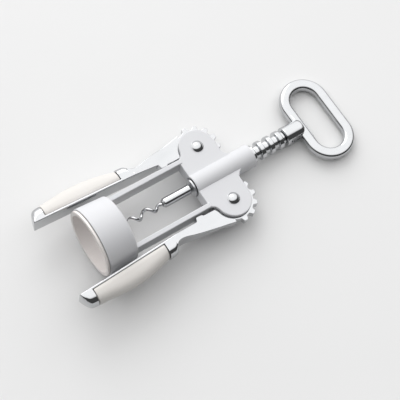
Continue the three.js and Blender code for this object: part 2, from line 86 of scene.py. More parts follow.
class Side(Enum):
    """Which side of the screw a lever sits on, as the sign of Y."""

    LEFT = 1
    RIGHT = -1


class Cut(Enum):
    """How a second solid changes the first."""

    JOIN = "UNION"
    REMOVE = "DIFFERENCE"
    KEEP = "INTERSECT"


class Slot(Enum):
    """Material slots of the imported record."""

    PAINT = "frame_paint"
    IVORY = "ivory_plastic"
    CHROME = "bright_chrome"
    STEEL = "plain_steel"


# Shapes ----------


@dataclass
class Shell:
    """A closed surface: its points in millimetres and its faces as tuples of point numbers."""

    points: Points
    faces: list

    def mirrored(self, side: Side) -> "Shell":
        """The shell on the given side of the screw: Y times the side's sign."""
        return Shell(self.points * (1.0, side.value, 1.0), self.faces)


def soften(corners: Points, reach: Points | float, closed: bool = True, steps: int = ROUND_STEPS,
           merge: bool = True) -> Points:
    """Rounds the corners of a flat line.

    Corner C becomes the curve (1-s)^2 A + 2s(1-s) C + s^2 B, where A and B lie `reach` away from C on its
    two edges. A guard point beyond A and beyond B keeps the shading of the flats level.

    Args:
        corners: the line's corners, one a row.
        reach: how far the rounding goes from each corner, one number or one for each corner.
        closed: whether the last corner joins the first.
        steps: points on each curve.
        merge: whether repeated points are dropped.

    Returns:
        The rounded line, one point a row.
    """
    line = np.asarray(corners, float)
    back, ahead = np.roll(line, 1, 0) - line, np.roll(line, -1, 0) - line
    back_length = np.maximum(np.linalg.norm(back, axis=1, keepdims=True), 1e-9)
    ahead_length = np.maximum(np.linalg.norm(ahead, axis=1, keepdims=True), 1e-9)
    wanted = np.broadcast_to(np.asarray(reach, float), (len(line),))[:, None].copy()
    if not closed:
        wanted[[0, -1]] = 0.0
    cut = np.minimum(wanted, 0.45 * np.minimum(back_length, ahead_length))
    guard_back = np.minimum(cut * 1.25, 0.49 * back_length)
    guard_ahead = np.minimum(cut * 1.25, 0.49 * ahead_length)
    back_way, ahead_way = back / back_length, ahead / ahead_length
    s = np.linspace(0, 1, steps)[:, None, None]
    curve = (1 - s) ** 2 * (line + back_way * cut) + 2 * s * (1 - s) * line + s**2 * (line + ahead_way * cut)
    first, last = line + back_way * guard_back, line + ahead_way * guard_ahead
    rows = np.concatenate([first[None], curve, last[None]])
    rounded = rows.transpose(1, 0, 2).reshape(-1, line.shape[1])
    if not merge:
        return rounded
    before = np.roll(rounded, 1, 0)
    keep = np.linalg.norm(rounded - before, axis=1) > SAME_POINT
    keep[0] = keep[0] or not closed
    return rounded[keep]


def grid_shell(grid: Points, ring: bool = False) -> Shell:
    """Closes a grid of points into a shell.

    Row i, column j meets its neighbours i+1 and j+1, and columns wrap round. The rows wrap too when ring is
    set; otherwise the first and last rows are closed by one flat face, or by a fan where the row is a pole.

    Args:
        grid: rows by columns by 3 coordinates.
        ring: whether the last row joins the first.

    Returns:
        The closed shell.
    """
    rows, columns = grid.shape[:2]
    number = np.arange(rows * columns).reshape(rows, columns)
    poles = [not ring and np.ptp(grid[r].reshape(columns, 3), axis=0).max() < POLE_SIZE for r in (0, -1)]
    for row, pole in zip((0, -1), poles):
        if pole:
            number[row] = number[row, 0]
    low = number if ring else number[:-1]
    high = np.roll(number, -1, 0) if ring else number[1:]
    quads = np.stack([low, np.roll(low, -1, 1), np.roll(high, -1, 1), high], -1).reshape(-1, 4)
    faces = [tuple(dict.fromkeys(q)) for q in quads.tolist()]
    if not ring:
        faces += [tuple(number[r].tolist()) for r, pole in zip((0, -1), poles) if not pole]
    return Shell(grid.reshape(-1, 3), faces)


def turned(profile: Points, axis: Axis = Axis.SCREW, centre: tuple = (0.0, 0.0, 0.0), ring: bool = True,
           sides: int = FINE_SIDES) -> Shell:
    """Turns a profile about an axis: (along, radius) goes to (along, radius cos a, radius sin a).

    Args:
        profile: rows of (distance along the axis, radius).
        axis: the axis it is turned about.
        centre: point on the axis that the distances start from.
        ring: whether the profile is a closed loop; otherwise it starts and ends on the axis.
        sides: number of columns round the axis.

    Returns:
        The turned shell.
    """
    angle = np.linspace(0, 2 * np.pi, sides, endpoint=False)
    along = np.repeat(profile[:, :1], sides, 1)
    across, up = profile[:, 1:] * np.cos(angle), profile[:, 1:] * np.sin(angle)
    parts = (along, across, up) if axis is Axis.SCREW else (across, up, along)
    return grid_shell(np.stack(parts, -1) + np.array(centre), ring)


def rod(low: float, high: float, radius: float, axis: Axis = Axis.SCREW, centre: tuple = (0.0, 0.0, 0.0),
        edge: float = 0.0, sides: int = SMALL_SIDES) -> Shell:
    """A solid round bar between two distances on its axis, its rims rounded by edge."""
    corners = [(low, 0), (low, radius), (high, radius), (high, 0)]
    return turned(soften(corners, edge, closed=False), axis, centre, False, sides)


def collar(low: float, high: float, bore: float, radius: float, reach: Points | float,
           axis: Axis = Axis.SCREW, centre: tuple = (0.0, 0.0, 0.0), sides: int = FINE_SIDES) -> Shell:
    """A turned sleeve between two distances on its axis, its corners rounded as by soften()."""
    corners = [(low, bore), (low, radius), (high, radius), (high, bore)]
    return turned(soften(corners, reach), axis, centre, True, sides)


def oblong(left: float, right: float, low: float, high: float) -> Points:
    """Corners of a rectangle in X and Y."""
    return np.array([(left, low), (right, low), (right, high), (left, high)])


def turns(corners: Points) -> tuple:
    """Miter direction and tangent of half the turning angle at each corner of a closed flat line.

    The miter is (m + n) / (1 + m.n), with m and n the outward normals of the edges before and after.

    Args:
        corners: closed line in X and Y.

    Returns:
        The miters, and the signed tangents: positive where the line turns outwards.
    """
    step = np.roll(corners, -1, 0) - corners
    step /= np.linalg.norm(step, axis=1, keepdims=True)
    area = np.sum(corners[:, 0] * np.roll(corners[:, 1], -1) - corners[:, 1] * np.roll(corners[:, 0], -1))
    after = np.stack([step[:, 1], -step[:, 0]], 1) * np.sign(area)
    before = np.roll(after, 1, 0)
    share = 1 + np.sum(before * after, 1)
    cross = (before[:, 0] * after[:, 1] - before[:, 1] * after[:, 0]) * np.sign(area)
    return (before + after) / share[:, None], cross / share


def plate(corners: Points, reach: Points | float, low: float, high: float, edge: float) -> Shell:
    """A plate with rounded corners and rims.

    Its rings are the outline moved inwards by edge (1 - sin t) at the rims. Every ring's corners are moved
    along their miters before they are rounded, so that a ring never crosses itself.

    Args:
        corners: closed line in X and Y.
        reach: rounding of each corner, as for soften().
        low: height of the underside.
        high: height of the top.
        edge: radius of the rims.

    Returns:
        The plate.
    """
    turn = np.linspace(0, np.pi / 2, ROUND_STEPS)
    half, middle = (high - low) / 2, (high + low) / 2
    level = np.concatenate([[half, half], half - edge + edge * np.cos(turn)[1:], [half - edge * 1.25, 0.0]])
    inset = np.concatenate([[edge * 1.15, edge], edge * (1 - np.sin(turn))[1:], [0.0, 0.0]])
    level = np.concatenate([level, -level[-2::-1]])
    inset = np.concatenate([inset, inset[-2::-1]])
    miter, tangent = turns(corners)
    rings = []
    for height, inwards in zip(level, inset):
        rounding = np.maximum(reach - inwards * tangent, 0.02)
        ring = soften(corners - inwards * miter, rounding, merge=False)
        rings.append(np.column_stack([ring, np.full(len(ring), height + middle)]))
    return grid_shell(np.stack(rings))


def lofted(x: Points, inner: Points, outer: Points, half: Points, inner_edge: float,
           outer_edge: float) -> Shell:
    """Joins rounded rectangles across Y and Z, one for each station along X.

    Each corner is the quarter ellipse centre + (a cos t, b sin t), shrunk where the section is narrow,
    with guard points as in soften().

    Args:
        x: the stations.
        inner: the Y of the inner side at each station.
        outer: the Y of the outer side.
        half: the half depth.
        inner_edge: radius of the corners on the inner side.
        outer_edge: radius of the corners on the outer side.

    Returns:
        The loft, flat at both ends.
    """
    t = np.linspace(0, np.pi / 2, 2 * ROUND_STEPS)
    across = np.concatenate([[1.0], np.cos(t), [-0.06]])
    upward = np.concatenate([[-0.06], np.sin(t), [1.0]])
    width = (outer - inner)[:, None]
    far, near = np.minimum(outer_edge, 0.8 * width), np.minimum(inner_edge, 0.15 * width)
    tall, low = np.minimum(outer_edge, 0.92 * half[:, None]), np.minimum(inner_edge, 0.45 * half[:, None])
    right = outer[:, None] - far + far * across, half[:, None] - tall + tall * upward
    left = inner[:, None] + near - near * across, half[:, None] - low + low * upward
    y = np.concatenate([right[0], left[0][:, ::-1], left[0], right[0][:, ::-1]], 1)
    z = np.concatenate([right[1], left[1][:, ::-1], -left[1], -right[1][:, ::-1]], 1)
    return grid_shell(np.stack([np.broadcast_to(x[:, None], y.shape), y, z], -1))


def arc(centre: tuple, radius: float, start: float, end: float, steps: int = 24) -> Points:
    """Points of centre + radius (cos a, sin a) for a from start to end, in radians."""
    a = np.linspace(start, end, steps)
    return np.stack([centre[0] + radius * np.cos(a), centre[1] + radius * np.sin(a)], 1)


def bent(wave: Points, power: float) -> Points:
    """|wave|^power with the wave's own sign, for superellipses."""
    return np.sign(wave) * np.abs(wave) ** power


def tube(path: Points, radius: Points, normal: Points) -> Shell:
    """A round wire: path + radius (N cos a + B sin a), with N the normal squared up to the path.

    Args:
        path: the wire's middle line.
        radius: its radius at each point.
        normal: a direction roughly across the path at each point.

    Returns:
        The wire, closed at both ends.
    """
    tangent = np.gradient(path, axis=0)
    tangent /= np.linalg.norm(tangent, axis=1, keepdims=True)
    across = normal - tangent * np.sum(normal * tangent, 1, keepdims=True)
    across /= np.linalg.norm(across, axis=1, keepdims=True)
    other = np.cross(tangent, across)
    a = np.linspace(0, 2 * np.pi, WIRE_SIDES, endpoint=False)[None, :, None]
    ring = across[:, None] * np.cos(a) + other[:, None] * np.sin(a)
    return grid_shell(path[:, None] + radius[:, None, None] * ring)


def place(points: Points) -> Points:
    """Millimetres from the bell's mouth to metres in the row frame."""
    return np.asarray(points) * MM + ORIGIN


def linked(name: str, data: bpy.types.ID) -> bpy.types.Object:
    """Puts a new object into the scene."""
    made = bpy.data.objects.new(name, data)
    bpy.context.scene.collection.objects.link(made)
    return made


def mesh_of(name: str, shell: Shell) -> bpy.types.Mesh:
    """Puts a shell into a mesh whose faces point outwards."""
    mesh = bpy.data.meshes.new(name)
    mesh.from_pydata(place(shell.points), [], shell.faces)
    work = bmesh.new()
    work.from_mesh(mesh)
    bmesh.ops.remove_doubles(work, verts=work.verts, dist=WELD_METRES)
    loose = [v for v in work.verts if not v.link_faces]
    bmesh.ops.delete(work, geom=loose, context="VERTS")
    bmesh.ops.recalc_face_normals(work, faces=work.faces)
    work.to_mesh(mesh)
    work.free()
    return mesh


def solid(name: str, base: Shell, *cuts: tuple) -> bpy.types.Object:
    """Makes an object from a shell and the shells that are joined to it or cut from it.

    Args:
        name: the object's name.
        base: the first shell.
        cuts: pairs of a Cut and a Shell, used in order.

    Returns:
        The object, shaded smooth up to its sharp edges.
    """
    piece = linked(name, mesh_of(name, base))
    for way, shell in cuts:
        tool = linked(name + "_tool", mesh_of(name + "_tool", shell))
        change = piece.modifiers.new("cut", "BOOLEAN")
        change.operation, change.object, change.solver = way.value, tool, "MANIFOLD"
        graph = bpy.context.evaluated_depsgraph_get()
        made = bpy.data.meshes.new_from_object(piece.evaluated_get(graph))
        piece.modifiers.clear()
        piece.data = made
        bpy.data.objects.remove(tool)
    piece.data.name = name
    piece.data.polygons.foreach_set("use_smooth", np.ones(len(piece.data.polygons), bool))
    piece.data.set_sharp_from_angle(angle=SHARP_ANGLE)
    return piece


# Finishes ----------


class Wire:
    """A node's output that takes Python arithmetic."""

    def __init__(self, nodes: "Nodes", socket: bpy.types.NodeSocket) -> None:
        """Wraps one socket."""
        self.nodes, self.socket = nodes, socket

    def _math(self, operation: str, left: "Wire | float", right: "Wire | float") -> "Wire":
        """One Math node."""
        return self.nodes.add("ShaderNodeMath", {"operation": operation}, {0: left, 1: right})

    def __add__(self, other: "Wire | float") -> "Wire":
        """self + other."""
        return self._math("ADD", self, other)

    __radd__ = __add__

    def __sub__(self, other: "Wire | float") -> "Wire":
        """self - other."""
        return self._math("SUBTRACT", self, other)

    def __rsub__(self, other: "Wire | float") -> "Wire":
        """other - self."""
        return self._math("SUBTRACT", other, self)

    def __mul__(self, other: "Wire | float") -> "Wire":
        """self times other."""
        return self._math("MULTIPLY", self, other)

    __rmul__ = __mul__


class Nodes:
    """Node tree of one material or world."""

    def __init__(self, owner: bpy.types.ID) -> None:
        """Clears the owner's tree."""
        owner.use_nodes = True
        self.tree = owner.node_tree
        self.tree.nodes.clear()

    def add(self, kind: str, settings: dict | None = None, inputs: dict | None = None,
            output: str | int = 0) -> Wire:
        """Adds a node.

        Args:
            kind: the node's type.
            settings: its properties, with a ramp's stops under "stops", set before its sockets.
            inputs: socket name or number to a value or a Wire.
            output: which output to return.

        Returns:
            The wire of that output.
        """
        node = self.tree.nodes.new(kind)
        for key, value in (settings or {}).items():
            if key == "stops":
                ramp = node.color_ramp.elements
                while len(ramp) < len(value):
                    ramp.new(0.5)
                for stop, (position, colour) in zip(ramp, value):
                    stop.position, stop.color = position, (*colour, 1.0)
            else:
                setattr(node, key, value)
        for key, value in (inputs or {}).items():
            if isinstance(value, Wire):
                self.tree.links.new(value.socket, node.inputs[key])
            else:
                node.inputs[key].default_value = value
        return Wire(self, node.outputs[output] if len(node.outputs) else None)

    def spot(self, stretch: tuple = (1.0, 1.0, 1.0)) -> Wire:
        """Object coordinates in metres, stretched by a Mapping node."""
        where = self.add("ShaderNodeTexCoord", output="Object")
        return self.add("ShaderNodeMapping", {}, {"Vector": where, "Scale": stretch})

    def noise(self, where: Wire, scale: float, detail: float = 3.0) -> Wire:
        """Smooth noise from 0 to 1, scale features to the metre."""
        return self.add("ShaderNodeTexNoise", {}, {"Vector": where, "Scale": scale, "Detail": detail})

    def blend(self, share: Wire, low: tuple | Wire, high: tuple | Wire) -> Wire:
        """Colour from low to high by share, each a colour or a wire."""
        first, last = (end if isinstance(end, Wire) else (*end, 1.0) for end in (low, high))
        return self.add("ShaderNodeMix", {"data_type": "RGBA"}, {0: share, 6: first, 7: last}, 2)

    def bump(self, height: Wire, strength: float, distance: float) -> Wire:
        """Normal tilted by a height."""
        sockets = {"Height": height, "Strength": strength, "Distance": distance}
        return self.add("ShaderNodeBump", {}, sockets, "Normal")

    def surface(self, sockets: dict) -> None:
        """Ends the tree in a Principled shader with these sockets."""
        shader = self.add("ShaderNodeBsdfPrincipled", {}, sockets)
        self.add("ShaderNodeOutputMaterial", {}, {"Surface": shader})


@dataclass(frozen=True)
class Finish:
    """A procedural material."""

    name: str

    def fill(self, nodes: Nodes) -> None:
        """Adds the finish's nodes; each finish has its own."""

    def material(self) -> bpy.types.Material:
        """Makes the material."""
        made = bpy.data.materials.new(self.name)
        self.fill(Nodes(made))
        return made


@dataclass(frozen=True)
class Paint(Finish):
    """Satin light grey paint on a zinc casting: fine orange peel, a little dust and uneven gloss."""

    name: str = "satin_grey_paint"
    light: tuple = (0.63, 0.634, 0.65)
    dull: tuple = (0.585, 0.588, 0.607)
    gloss: float = 0.5

    def fill(self, nodes: Nodes) -> None:
        """Base colour from slow and fine noise, roughness from the slow noise, bump from peel and grain."""
        where = nodes.spot()
        slow, grain = nodes.noise(where, 90, 4), nodes.noise(where, 2600, 2)
        peel = nodes.noise(where, 950, 2)
        share = slow * 0.65 + grain * 0.35
        nodes.surface({
            "Base Color": nodes.blend(share, self.dull, self.light),
            "Roughness": self.gloss + slow * 0.12,
            "Normal": nodes.bump(peel + grain * 0.4, 0.10, 0.00012),
            "Specular IOR Level": 0.3,
        })


@dataclass(frozen=True)
class Ivory(Finish):
    """Cream moulded plastic with warm clouds and handling smears; inside the bell it is painted paler, a
    painted light against the bell's shade, and rosier, the liner's own tint.
    """

    name: str = "ivory_plastic"
    light: tuple = (0.655, 0.638, 0.615)
    warm: tuple = (0.63, 0.604, 0.576)
    # pale and rosy are the liner's colours, painted paler than the grip's as painted light against the shade
    # inside the bell
    pale: tuple = (0.80, 0.765, 0.745)
    rosy: tuple = (0.77, 0.72, 0.70)
    liner_reach: float = 0.0185
    fade: float = 2000.0
    gloss: float = 0.30

    def fill(self, nodes: Nodes) -> None:
        """Base colour from clouds and the distance to the screw's axis, roughness from smears."""
        where = nodes.spot()
        cloud = nodes.noise(where, 60)
        smear = nodes.noise(nodes.spot((1.0, 2.5, 2.5)), 160, 4)
        texture = nodes.noise(where, 3200, 2)
        across = nodes.spot((0.0, 1.0, 1.0))
        axis = (0.0, 0.0, float(ORIGIN[2]))
        sockets = {0: across, 1: axis}
        off_axis = nodes.add("ShaderNodeVectorMath", {"operation": "DISTANCE"}, sockets, "Value")
        # 0 on the liner, 1 on the grips: the liner gets the painted-paler colours, a painted light for the
        #                                 bell's shade
        grip_share = (off_axis - self.liner_reach) * self.fade
        grip = nodes.blend(cloud, self.warm, self.light)
        liner = nodes.blend(cloud, self.pale, self.rosy)
        nodes.surface({
            "Base Color": nodes.blend(grip_share, liner, grip),
            "Roughness": self.gloss + smear * 0.16,
            "Normal": nodes.bump(texture, 0.05, 0.00008),
            "Specular IOR Level": 0.35,
            "Coat Weight": 0.08,
            "Coat Roughness": 0.2,
        })


@dataclass(frozen=True)
class Chrome(Finish):
    """Bright plating: cool metal with wipe marks and hair scratches."""

    name: str = "bright_chrome"
    light: tuple = (0.555, 0.56, 0.57)
    cloudy: tuple = (0.49, 0.50, 0.51)
    gloss: float = 0.045

    def fill(self, nodes: Nodes) -> None:
        """Roughness and colour from wipe marks, bump from long scratches."""
        wipe = nodes.noise(nodes.spot((0.4, 1.6, 1.6)), 130, 4)
        scratch = nodes.noise(nodes.spot((0.06, 1.0, 1.0)), 5200, 2)
        nodes.surface({
            "Base Color": nodes.blend(wipe, self.light, self.cloudy),
            "Metallic": 1.0,
            "Roughness": self.gloss + wipe * 0.07,
            "Normal": nodes.bump(scratch, 0.03, 0.00003),
        })


@dataclass(frozen=True)
class Steel(Finish):
    """Zinc-plated steel: duller metal with a spangled grain."""

    name: str = "plain_steel"
    light: tuple = (0.66, 0.67, 0.68)
    dark: tuple = (0.47, 0.475, 0.485)
    gloss: float = 0.24

    def fill(self, nodes: Nodes) -> None:
        """Colour from spangled cells and noise, roughness and bump from the noise."""
        where = nodes.spot()
        spangle = nodes.add("ShaderNodeTexVoronoi", {}, {"Vector": where, "Scale": 900.0}, "Distance")
        cloud = nodes.noise(where, 400, 4)
        nodes.surface({
            "Base Color": nodes.blend(spangle * 0.5 + cloud * 0.5, self.light, self.dark),
            "Metallic": 1.0,
            "Roughness": self.gloss + cloud * 0.2,
            "Normal": nodes.bump(cloud, 0.08, 0.00005),
        })


@dataclass(frozen=True)
class Board(Finish):
    """Pale matt board that the corkscrew lies on."""

    name: str = "pale_board"
    light: tuple = (0.71, 0.71, 0.71)
    dull: tuple = (0.695, 0.695, 0.695)

    def fill(self, nodes: Nodes) -> None:
        """Colour from slow noise, roughness and a fine bump from the fibre."""
        where = nodes.spot()
        cloud, fibre = nodes.noise(where, 14), nodes.noise(where, 2400)
        nodes.surface({
            "Base Color": nodes.blend(cloud, self.dull, self.light),
            "Roughness": 0.75 + fibre * 0.1,
            "Normal": nodes.bump(fibre, 0.05, 0.0001),
        })


FINISHES = {Slot.PAINT: Paint(), Slot.IVORY: Ivory(), Slot.CHROME: Chrome(), Slot.STEEL: Steel()}


@dataclass
class Dresser:
    """Gives pieces their finish, body and CAD nodes."""

    made: dict = field(default_factory=dict)

    def dress(self, piece: bpy.types.Object, slot: Slot, body: str, *nodes: str) -> None:
        """Finishes one piece.

        Args:
            piece: the new object.
            slot: its material slot.
            body: the CAD body it rides on.
            nodes: the CAD nodes it stands for.
        """
        if slot not in self.made:
            self.made[slot] = FINISHES[slot].material()
        piece.data.materials.clear()
        piece.data.materials.append(self.made[slot])
        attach(piece, body)
        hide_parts(*nodes)
        LOG.info("%s rides on %s: %d faces, %s", piece.name, body, len(piece.data.polygons), slot.value)


# Sub-assemblies ----------


@dataclass
class Casting:
    """The painted frame: bell, two legs, cheek plates and barrel in one casting."""

    mouth_x: float = 1.5
    mouth_radius: float = 17.7
    top_x: float = 17.2
    top_radius: float = 16.7
    bell_bore: float = 16.05
    ledge_x: float = 14.0
    cork_radius: float = 12.8
    leg_y: tuple = (12.0, 14.5)
    leg_half: float = 4.4
    shoulder_x: float = 58.8
    barrel_end: float = 93.2
    barrel_radius: float = 6.1
    barrel_bore: float = 5.15
    lobe_radius: float = 9.2
    cheek_end: float = 80.7
    nose_x: float = 83.74
    cheek_half: float = 4.0
    slot_half: float = 2.3
    gear_room: float = 12.75
    edge: float = 0.5

    def bell(self) -> Shell:
        """Turned cup with a cork hole in its top."""
        corners = [
            (self.mouth_x, self.bell_bore), (self.mouth_x, self.mouth_radius), (self.top_x, self.top_radius),
            (self.top_x, self.cork_radius), (self.ledge_x, self.cork_radius), (self.ledge_x, self.bell_bore),
        ]
        return turned(soften(corners, [0.3, 0.5, 1.1, 0.5, 0.5, 0.2]))

    def barrel(self) -> Shell:
        """Turned tube that the rack runs in."""
        radius, reach = self.barrel_radius, [0.3, 0.5, 0.5, 0.3]
        return collar(self.shoulder_x, self.barrel_end, self.barrel_bore, radius, reach)

    def cheeks(self) -> Shell:
        """Plate across both pivots, with a round lobe about each."""
        lobe = arc((PIVOT_X, PIVOT_Y), self.lobe_radius, 0.955 * np.pi, 0.0)
        start = [(self.shoulder_x, 14.5), (60.2, 14.8), (61.5, 15.7)]
        rest = [(self.cheek_end, 8.0), (81.46, 6.67), (self.nose_x, 4.88)]
        half = np.concatenate([start, lobe, rest])
        whole = np.concatenate([half, half[::-1] * (1, -1)])
        reach = np.full(len(half), 0.25)
        reach[:3], reach[-3:] = (0.8, 0.7, 0.7), (0.6, 0.8, 0.6)
        reach = np.concatenate([reach, reach[::-1]])
        return plate(whole, reach, -self.cheek_half, self.cheek_half, self.edge)

    def leg(self, side: Side) -> Shell:
        """Straight bar from the bell's top to the shoulder."""
        corners = oblong(self.top_x - 1.6, self.shoulder_x + 1.2, *self.leg_y)
        return plate(corners, 0.2, -self.leg_half, self.leg_half, self.edge).mirrored(side)

    def build(self, dresser: Dresser) -> None:
        """Joins the shells, then cuts the bore and the room for the two gears."""
        bore = rod(self.shoulder_x - CUT_MARGIN, self.barrel_end + CUT_MARGIN, self.barrel_bore,
                   sides=FINE_SIDES)
        pivots = [(PIVOT_X, side.value * PIVOT_Y, 0.0) for side in Side]
        slot = self.slot_half
        rooms = [
            (Cut.REMOVE, rod(-slot, slot, self.gear_room, Axis.PIVOT, pivot, 0.15, FINE_SIDES))
            for pivot in pivots
        ]
        holes = [(Cut.REMOVE, rod(-THROUGH, THROUGH, RIVET_HOLE, Axis.PIVOT, pivot)) for pivot in pivots]
        legs = [(Cut.JOIN, self.leg(side)) for side in Side]
        piece = solid("casting", self.cheeks(), (Cut.JOIN, self.barrel()), (Cut.REMOVE, bore), *legs,
                      (Cut.JOIN, self.bell()), *rooms, *holes)
        dresser.dress(piece, Slot.PAINT, "frame", "body_casting")


@dataclass
class BellLiner:
    """The ivory sleeve and flange in the bell's mouth."""

    flange_radius: float = 17.2
    flange_depth: float = 1.2
    sleeve_radius: float = 15.75
    bore: float = 15.0
    depth: float = 13.7

    def build(self, dresser: Dresser) -> None:
        """Turned ring with a rounded lip."""
        corners = [
            (0, self.bore), (0, self.flange_radius), (self.flange_depth, self.flange_radius),
            (self.flange_depth, self.sleeve_radius), (self.depth, self.sleeve_radius),
            (self.depth, self.bore),
        ]
        shell = turned(soften(corners, [0.55, 0.5, 0.2, 0.1, 0.2, 0.25]))
        dresser.dress(solid("bell_sleeve", shell), Slot.IVORY, "frame", "bell_liner")


@dataclass
class Lever:
    """One lever: chrome head, rail, arm and toothed wheel, with its ivory grip and the grip's screws."""

    side: Side
    tip_x: float = -17.6
    tip_edge_y: float = 20.35
    edge_slope: float = -0.0476
    half: float = 5.2
    rail: float = 1.2
    groove: float = 0.15
    edge: float = 0.42
    tip_round: float = 0.8
    side_round: float = 4.8
    grip_start: float = -11.2
    grip_end: float = 29.3
    grip_power: float = 2.6
    web_half: float = 1.0
    web_y: float = 25.2
    teeth: int = 13
    teeth_cut: int = 8
    tip_radius: float = 12.3
    root_radius: float = 10.4
    tip_angle: float = 0.082
    root_angle: float = 0.160
    gear_half: float = 1.9
    wheel_reach: float = 0.32
    wheel_edge: float = 0.22
    pin_reach: float = 4.0
    screw_x: tuple = (-3.0, 21.0)
    screw_y: float = 23.0
    screw_low: float = -6.0
    shank_room: tuple = (3.3, 1.15)
    head_room: tuple = (-3.85, 1.85)
    slit_gap: float = 0.12

    def edge_y(self, x: Points | float) -> Points | float:
        """Y of the lever's inner side: a straight line in X."""
        return self.tip_edge_y + self.edge_slope * (x - self.tip_x)

    def head(self) -> Shell:
        """The lever's end: its plan widens from the tip, and its outer side is a full round."""
        corners = [(self.tip_x, 21.0), (-17.2, 23.4), (-16.0, 26.3), (-14.6, 27.6), (-11.4, 27.9)]
        outline = soften(corners, 1.2, closed=False)
        run = np.linspace(0, 1, 46)
        x = self.tip_x + (self.grip_start - 0.15 - self.tip_x) * run**1.6
        near_tip = np.clip(1 - (x - self.tip_x) / self.tip_round, 0, 1)
        half = self.half - self.tip_round * (1 - np.sqrt(1 - near_tip**2))
        return lofted(x, self.edge_y(x), np.interp(x, *outline.T), half, self.edge, self.side_round)

    def stop(self) -> Shell:
        """Block at the grip's other end, rounded like the head."""
        start, end = self.grip_end + 0.1, 36.6
        corners = [(start, 25.7), (33.2, 25.5), (34.6, 24.6), (35.6, 22.9), (end, 21.8)]
        outline = soften(corners, 0.8, closed=False)
        x = np.linspace(start, end, 44)
        half, outer = np.full(len(x), self.half), np.interp(x, *outline.T)
        return lofted(x, self.edge_y(x), outer, half, self.edge, self.side_round * 0.75)

    def rail_plate(self) -> Shell:
        """Thin plate along the lever's inner side, from the head to the stop."""
        start, end = self.tip_x + 4.0, self.grip_end + 3.0
        corners = np.array([
            (end, self.edge_y(end)), (start, self.edge_y(start)), (start, self.edge_y(start) + self.rail),
            (end, self.edge_y(end) + self.rail),
        ])
        return plate(corners, 0.1, -self.half, self.half, self.edge)

    def arm(self) -> Shell:
        """Sections along X whose inner side, outer side and half depth follow three rounded lines."""
        start, end = 34.6, 66.6
        outer_line = soften([
            (start, 22.9), (36.3, 21.6), (38.5, 21.3), (41, 21.6), (44.5, 22.6), (49, 23.5), (56, 24.6),
            (62, 25.7), (end, 26.7),
        ], 1.2, closed=False)
        inner_line = soften([
            (start, self.edge_y(start)), (49.4, self.edge_y(49.4)), (50.2, 14.85), (53.4, 14.85),
            (54.2, 15.6), (end, 15.6),
        ], 0.35, closed=False)
        depth_line = soften([
            (start, self.half), (36, self.half), (46, 3.9), (57.5, self.gear_half), (end, self.gear_half),
        ], 3.0, closed=False, steps=10)
        x = np.unique(np.concatenate([np.linspace(start, end, 120), inner_line[:, 0], outer_line[:, 0]]))
        inner, outer, half = (np.interp(x, *line.T) for line in (inner_line, outer_line, depth_line))
        return lofted(x, inner, outer, half, self.edge, self.edge)

    def wheel(self) -> Shell:
        """Toothed disc: one trapezium a tooth, and an arc of the root circle on the side without teeth."""
        step = 2 * np.pi / self.teeth
        middle = -np.pi / 2 + (np.arange(self.teeth_cut) - 0.5) * step
        turn = np.array([-self.root_angle, -self.tip_angle, self.tip_angle, self.root_angle])
        angle = (middle[:, None] + turn[None]).ravel()
        radius = np.tile([self.root_radius, self.tip_radius, self.tip_radius, self.root_radius], len(middle))
        plain = np.linspace(angle[-1], angle[0] + 2 * np.pi, 34)[1:-1]
        angle = np.concatenate([angle, plain])
        radius = np.concatenate([radius, np.full(len(plain), self.root_radius)])
        outline = np.stack([PIVOT_X + radius * np.cos(angle), PIVOT_Y + radius * np.sin(angle)], 1)
        return plate(outline, self.wheel_reach, -self.gear_half, self.gear_half, self.wheel_edge)

    def web(self) -> Shell:
        """Thin plate from the rail into the grip."""
        corners = np.array([
            (self.grip_start - 1.5, 20.6), (self.grip_end + 1.5, 18.6), (self.grip_end + 1.5, 21.4),
            (23.0, self.web_y - 0.6), (-8.0, self.web_y), (self.grip_start - 1.5, 24.0),
        ])
        return plate(corners, 0.5, -self.web_half, self.web_half, 0.15)

    def grip(self) -> Shell:
        """Crown: Y = inner + w cos(t)^(2/n) and Z = half sin(t)^(2/n), with w its width at X."""
        crown = soften([
            (-10.9, 27.9), (-5, 28.4), (0, 28.9), (5, 29.2), (12, 28.9), (18, 28.1), (23.5, 26.9),
            (29.0, 25.4),
        ], 1.5, closed=False)
        ends, body = np.array([0.0, 0.12, 0.35]), np.linspace(-10.3, 28.4, 90)
        x = np.concatenate([crown[0, 0] + ends, body, crown[-1, 0] - ends[::-1]])
        inset = np.concatenate([ends[::-1], np.zeros(len(body)), ends])
        low = self.edge_y(x) + self.rail + self.groove + inset * 0.3
        width = np.interp(x, *crown.T) - low - inset
        t = np.linspace(-np.pi / 2, np.pi / 2, 61)[1:-1]
        power = 2 / self.grip_power
        lift, reach = bent(np.sin(t), power), np.cos(t) ** power
        rim = 0.3
        y = low[:, None] + rim + (width[:, None] - rim) * reach[None]
        z = (self.half - inset[:, None]) * lift[None]
        wall = np.array([1.0, 0.5, 0.0, -0.5, -1.0]) * 0.93
        y = np.concatenate([y, np.broadcast_to(low[:, None], (len(x), len(wall)))], 1)
        z = np.concatenate([z, (self.half - inset[:, None]) * wall[None]], 1)
        along = np.broadcast_to(x[:, None], y.shape)
        return grid_shell(np.stack([along, y, z], -1))

    def screw(self, x: float) -> tuple:
        """Pan-head screw pointing up, and the two bars of its cross recess."""
        corners = [(-5.1, 0), (-5.1, 1.6), (-3.9, 1.6), (-3.9, 1.0), (2.7, 1.0), (3.2, 0)]
        body = turned(soften(corners, [0, 0.45, 0.1, 0.05, 0.2, 0], closed=False), Axis.PIVOT,
                      (x, self.screw_y, 0.0), False, SMALL_SIDES)
        bars = []
        for long, short in ((1.0, 0.24), (0.24, 1.0)):
            corners = oblong(-long, long, -short, short) + (x, self.screw_y)
            bar = plate(corners, 0.1, self.screw_low, -4.4, 0.05)
            bars.append((Cut.REMOVE, bar.mirrored(self.side)))
        return body.mirrored(self.side), bars

